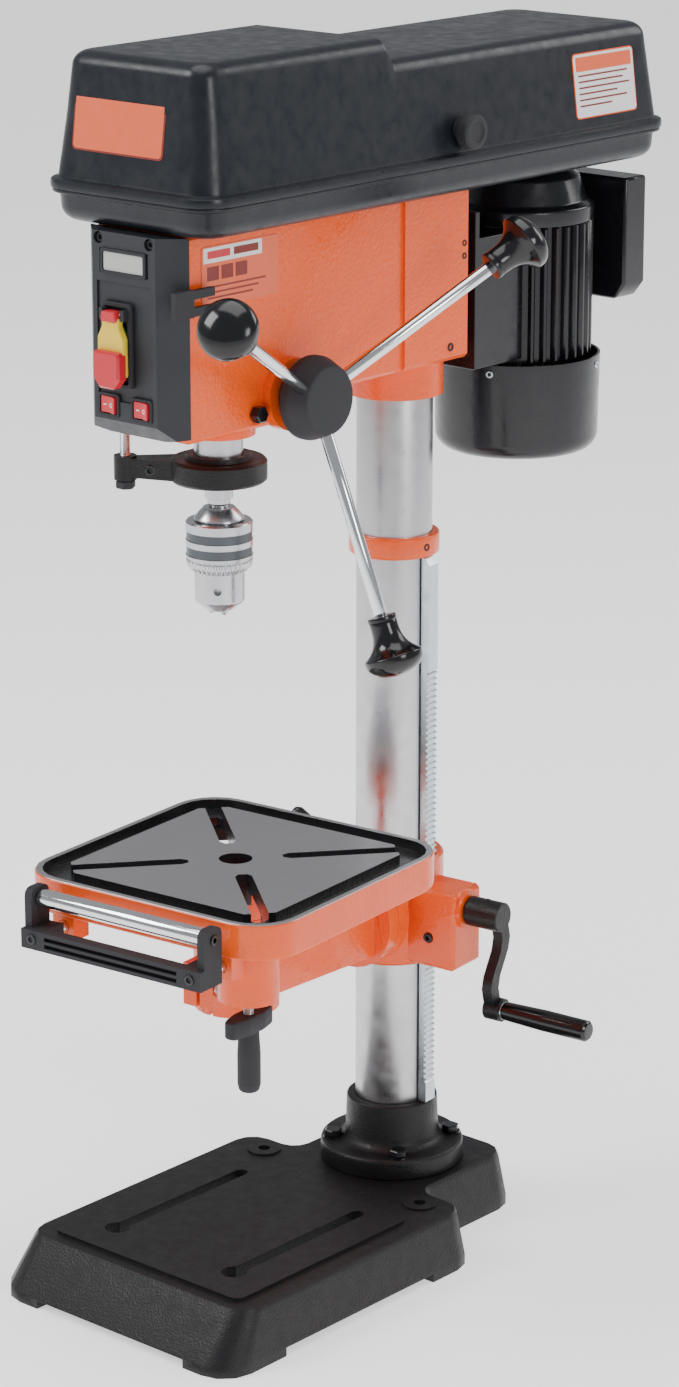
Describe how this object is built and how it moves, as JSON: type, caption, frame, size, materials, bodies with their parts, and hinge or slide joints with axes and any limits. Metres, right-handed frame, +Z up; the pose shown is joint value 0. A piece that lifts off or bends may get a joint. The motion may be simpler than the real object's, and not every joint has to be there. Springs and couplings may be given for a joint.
{
  "type": "bench drill press",
  "caption": "Bench drill press with a hinged belt cover, feed handles, keyed chuck, a cranked, tilting slotted table with a support roller, and a slotted cast base.",
  "frame": {"origin": "the column's axis at the underside of the base", "axes": "+Z up along the column; the operator stands at -Y; feed handles and table crank are on the +X side"},
  "size_m": [0.3262, 0.6166, 0.9755],
  "materials": {
    "orange_paint": "glossy hammered orange paint",
    "iron_paint": "textured black paint",
    "black_plastic": "satin black",
    "cover_plastic": "satin black, fine grain",
    "grey_plastic": "dark grey, fine grain",
    "steel": "ground steel",
    "chrome": "bright chrome",
    "zinc": "zinc plated",
    "alloy": "as cast and turned",
    "motor_paint": "gloss black paint",
    "rubber": "matt",
    "red_plastic": "glossy",
    "green_plastic": "glossy",
    "display": "pale grey window"
  },
  "bodies": {
    "stand": {"base_casting": "iron_paint", "column_flange": "iron_paint", "column_tube": "steel", "rack_collar": "orange_paint", "head_casting": "orange_paint", "spring_cap": "black_plastic", "switch_housing": "grey_plastic", "display_window": "display", "key_holder": "black_plastic", "belt_cover_pan": "cover_plastic", "idler_post": "steel", "drive_belt_front": "rubber", "drive_belt_rear": "rubber"},
    "lid": {"belt_cover_lid": "cover_plastic"},
    "feed": {"feed_pinion_shaft": "steel", "feed_hub": "black_plastic", "feed_rod_1": "chrome", "feed_rod_2": "chrome", "feed_rod_3": "chrome", "feed_knob_1": "black_plastic", "feed_knob_2": "black_plastic", "feed_knob_3": "black_plastic"},
    "quill": {"quill": "steel", "depth_collar": "iron_paint", "depth_rod": "zinc"},
    "depth_nut": {"depth_stop_nut": "black_plastic"},
    "spindle": {"spindle": "steel", "chuck_body": "steel"},
    "chuck_sleeve": {"chuck_sleeve": "steel"},
    "jaw_1": {"chuck_jaw_1": "steel"},
    "jaw_2": {"chuck_jaw_2": "steel"},
    "jaw_3": {"chuck_jaw_3": "steel"},
    "motor": {"motor_mount": "motor_paint", "motor_body": "motor_paint", "motor_end_bell": "motor_paint", "motor_fan_cover": "motor_paint", "motor_terminal_box": "motor_paint"},
    "rotor": {"motor_rotor": "steel", "motor_pulley": "alloy"},
    "idler": {"idler_pulley": "alloy"},
    "spindle_pulley": {"spindle_pulley": "alloy"},
    "paddle": {"safety_paddle": "red_plastic"},
    "rocker_left": {"rocker_left": "red_plastic"},
    "rocker_right": {"rocker_right": "red_plastic"},
    "start_button": {"start_button": "green_plastic"},
    "stop_button": {"stop_button": "red_plastic"},
    "rack": {"rack": "zinc"},
    "bracket": {"table_bracket": "orange_paint"},
    "lift_gear": {"lift_gear": "steel"},
    "crank": {"worm_shaft": "steel", "crank_arm": "iron_paint"},
    "crank_grip": {"crank_grip": "black_plastic"},
    "bracket_lock": {"bracket_lock": "black_plastic"},
    "arm": {"table_arm": "orange_paint"},
    "table": {"table_top": "orange_paint"},
    "roller_frame": {"roller_frame": "black_plastic", "guide_rod_left": "chrome", "guide_rod_right": "chrome"},
    "roller": {"support_roller": "steel"},
    "roller_lock": {"roller_lock": "black_plastic"}
  },
  "joints": [
    {"name": "lid_hinge", "type": "hinge", "parent": "stand", "child": "lid", "pos_m": [-0.0887, 0, 0.87615], "axis": [0, -1, 0], "range_deg": [0, 100]},
    {"name": "feed_turn", "type": "hinge", "parent": "stand", "child": "feed", "pos_m": [0, -0.177, 0.722], "axis": [1, 0, 0], "range_deg": [0, 611.15], "stiffness_Nm_per_rad": 0.06, "springref_deg": -343.77},
    {"name": "quill_slide", "type": "slide", "parent": "stand", "child": "quill", "axis": [0, 0, -1], "range_m": [0, 0.0801]},
    {"name": "depth_nut_slide", "type": "slide", "parent": "quill", "child": "depth_nut", "axis": [0, 0, 1], "range_m": [-0.06, 0]},
    {"name": "spindle_spin", "type": "hinge", "parent": "quill", "child": "spindle", "pos_m": [0, -0.202, 0], "axis": [0, 0, 1], "continuous": true},
    {"name": "chuck_sleeve_turn", "type": "hinge", "parent": "spindle", "child": "chuck_sleeve", "pos_m": [0, -0.202, 0], "axis": [0, 0, 1], "range_deg": [-450, 1350]},
    {"name": "jaw_1_slide", "type": "slide", "parent": "spindle", "child": "jaw_1", "axis": [0.0397, -0.2041, -0.9781], "range_m": [-0.0021, 0.0061]},
    {"name": "jaw_2_slide", "type": "slide", "parent": "spindle", "child": "jaw_2", "axis": [0.1569, 0.1364, -0.9781], "range_m": [-0.0021, 0.0061]},
    {"name": "jaw_3_slide", "type": "slide", "parent": "spindle", "child": "jaw_3", "axis": [-0.1966, 0.0677, -0.9781], "range_m": [-0.0021, 0.0061]},
    {"name": "motor_tension", "type": "slide", "parent": "stand", "child": "motor", "axis": [0, -1, 0], "range_m": [0, 0.012]},
    {"name": "motor_spin", "type": "hinge", "parent": "motor", "child": "rotor", "pos_m": [0, 0.152, 0], "axis": [0, 0, 1], "continuous": true},
    {"name": "idler_spin", "type": "hinge", "parent": "stand", "child": "idler", "pos_m": [0, -0.012, 0], "axis": [0, 0, 1], "continuous": true},
    {"name": "spindle_pulley_spin", "type": "hinge", "parent": "stand", "child": "spindle_pulley", "pos_m": [0, -0.202, 0], "axis": [0, 0, 1], "continuous": true},
    {"name": "paddle_lift", "type": "hinge", "parent": "stand", "child": "paddle", "pos_m": [-0.006, -0.305, 0.793], "axis": [-1, 0, 0], "range_deg": [0, 75]},
    {"name": "rocker_left_tip", "type": "hinge", "parent": "stand", "child": "rocker_left", "pos_m": [-0.0164, -0.2985, 0.7245], "axis": [0, 0, 1], "range_deg": [0, 16]},
    {"name": "rocker_right_tip", "type": "hinge", "parent": "stand", "child": "rocker_right", "pos_m": [0.0164, -0.2985, 0.7245], "axis": [0, 0, 1], "range_deg": [0, 16]},
    {"name": "start_press", "type": "slide", "parent": "stand", "child": "start_button", "axis": [0, 1, 0], "range_m": [0, 0.0025], "stiffness_N_per_m": 300, "springref_m": -0.002},
    {"name": "stop_press", "type": "slide", "parent": "stand", "child": "stop_button", "axis": [0, 1, 0], "range_m": [0, 0.0025], "stiffness_N_per_m": 300, "springref_m": -0.002},
    {"name": "table_swing", "type": "hinge", "parent": "stand", "child": "rack", "pos_m": [0, 0, 0], "axis": [0, 0, 1], "range_deg": [-90, 90]},
    {"name": "bracket_lift", "type": "slide", "parent": "rack", "child": "bracket", "axis": [0, 0, -1], "range_m": [-0.119, 0.0992]},
    {"name": "lift_gear_turn", "type": "hinge", "parent": "bracket", "child": "lift_gear", "pos_m": [0.05173, 0.00526, 0.2533], "axis": [-0.1011, 0.9949, 0], "range_deg": [-460, 380]},
    {"name": "crank_turn", "type": "hinge", "parent": "bracket", "child": "crank", "pos_m": [0.11224, 0.00336, 0.2775], "axis": [0.9949, 0.1011, 0], "range_deg": [-8640, 7204]},
    {"name": "crank_grip_spin", "type": "hinge", "parent": "crank", "child": "crank_grip", "pos_m": [0.11224, 0.00336, 0.1995], "axis": [0.9949, 0.1011, 0], "continuous": true},
    {"name": "bracket_lock_turn", "type": "hinge", "parent": "bracket", "child": "bracket_lock", "pos_m": [-0.05965, 0.03314, 0.268], "axis": [-0.1011, 0.9949, 0], "range_deg": [-60, 45]},
    {"name": "table_tilt", "type": "hinge", "parent": "bracket", "child": "arm", "pos_m": [0.00505, -0.04974, 0.27], "axis": [-0.1011, 0.9949, 0], "range_deg": [-45, 45]},
    {"name": "table_turn", "type": "hinge", "parent": "arm", "child": "table", "pos_m": [0.02132, -0.20992, 0.362], "axis": [0, 0, 1], "range_deg": [-90, 90]},
    {"name": "roller_extend", "type": "slide", "parent": "table", "child": "roller_frame", "axis": [0.1011, -0.9949, 0], "range_m": [0, 0.08]},
    {"name": "roller_spin", "type": "hinge", "parent": "roller_frame", "child": "roller", "pos_m": [0.03537, -0.34821, 0.355], "axis": [0.9949, 0.1011, 0], "continuous": true},
    {"name": "roller_lock_turn", "type": "hinge", "parent": "table", "child": "roller_lock", "pos_m": [0.10114, -0.28323, 0.262], "axis": [0, 0, 1], "range_deg": [-180, 180]}
  ],
  "couplings": [
    {"joint": "quill_slide", "follows": "feed_turn", "m_per_rad": 0.0075},
    {"joint": "idler_spin", "follows": "motor_spin", "ratio": 0.35849},
    {"joint": "spindle_pulley_spin", "follows": "motor_spin", "ratio": 0.13598},
    {"joint": "spindle_spin", "follows": "motor_spin", "ratio": 0.13598},
    {"joint": "crank_turn", "follows": "bracket_lift", "rad_per_m": 1266.8},
    {"joint": "lift_gear_turn", "follows": "bracket_lift", "rad_per_m": 66.672},
    {"joint": "jaw_1_slide", "follows": "chuck_sleeve_turn", "m_per_rad": 0.000255},
    {"joint": "jaw_2_slide", "follows": "chuck_sleeve_turn", "m_per_rad": 0.000255},
    {"joint": "jaw_3_slide", "follows": "chuck_sleeve_turn", "m_per_rad": 0.000255}
  ]
}
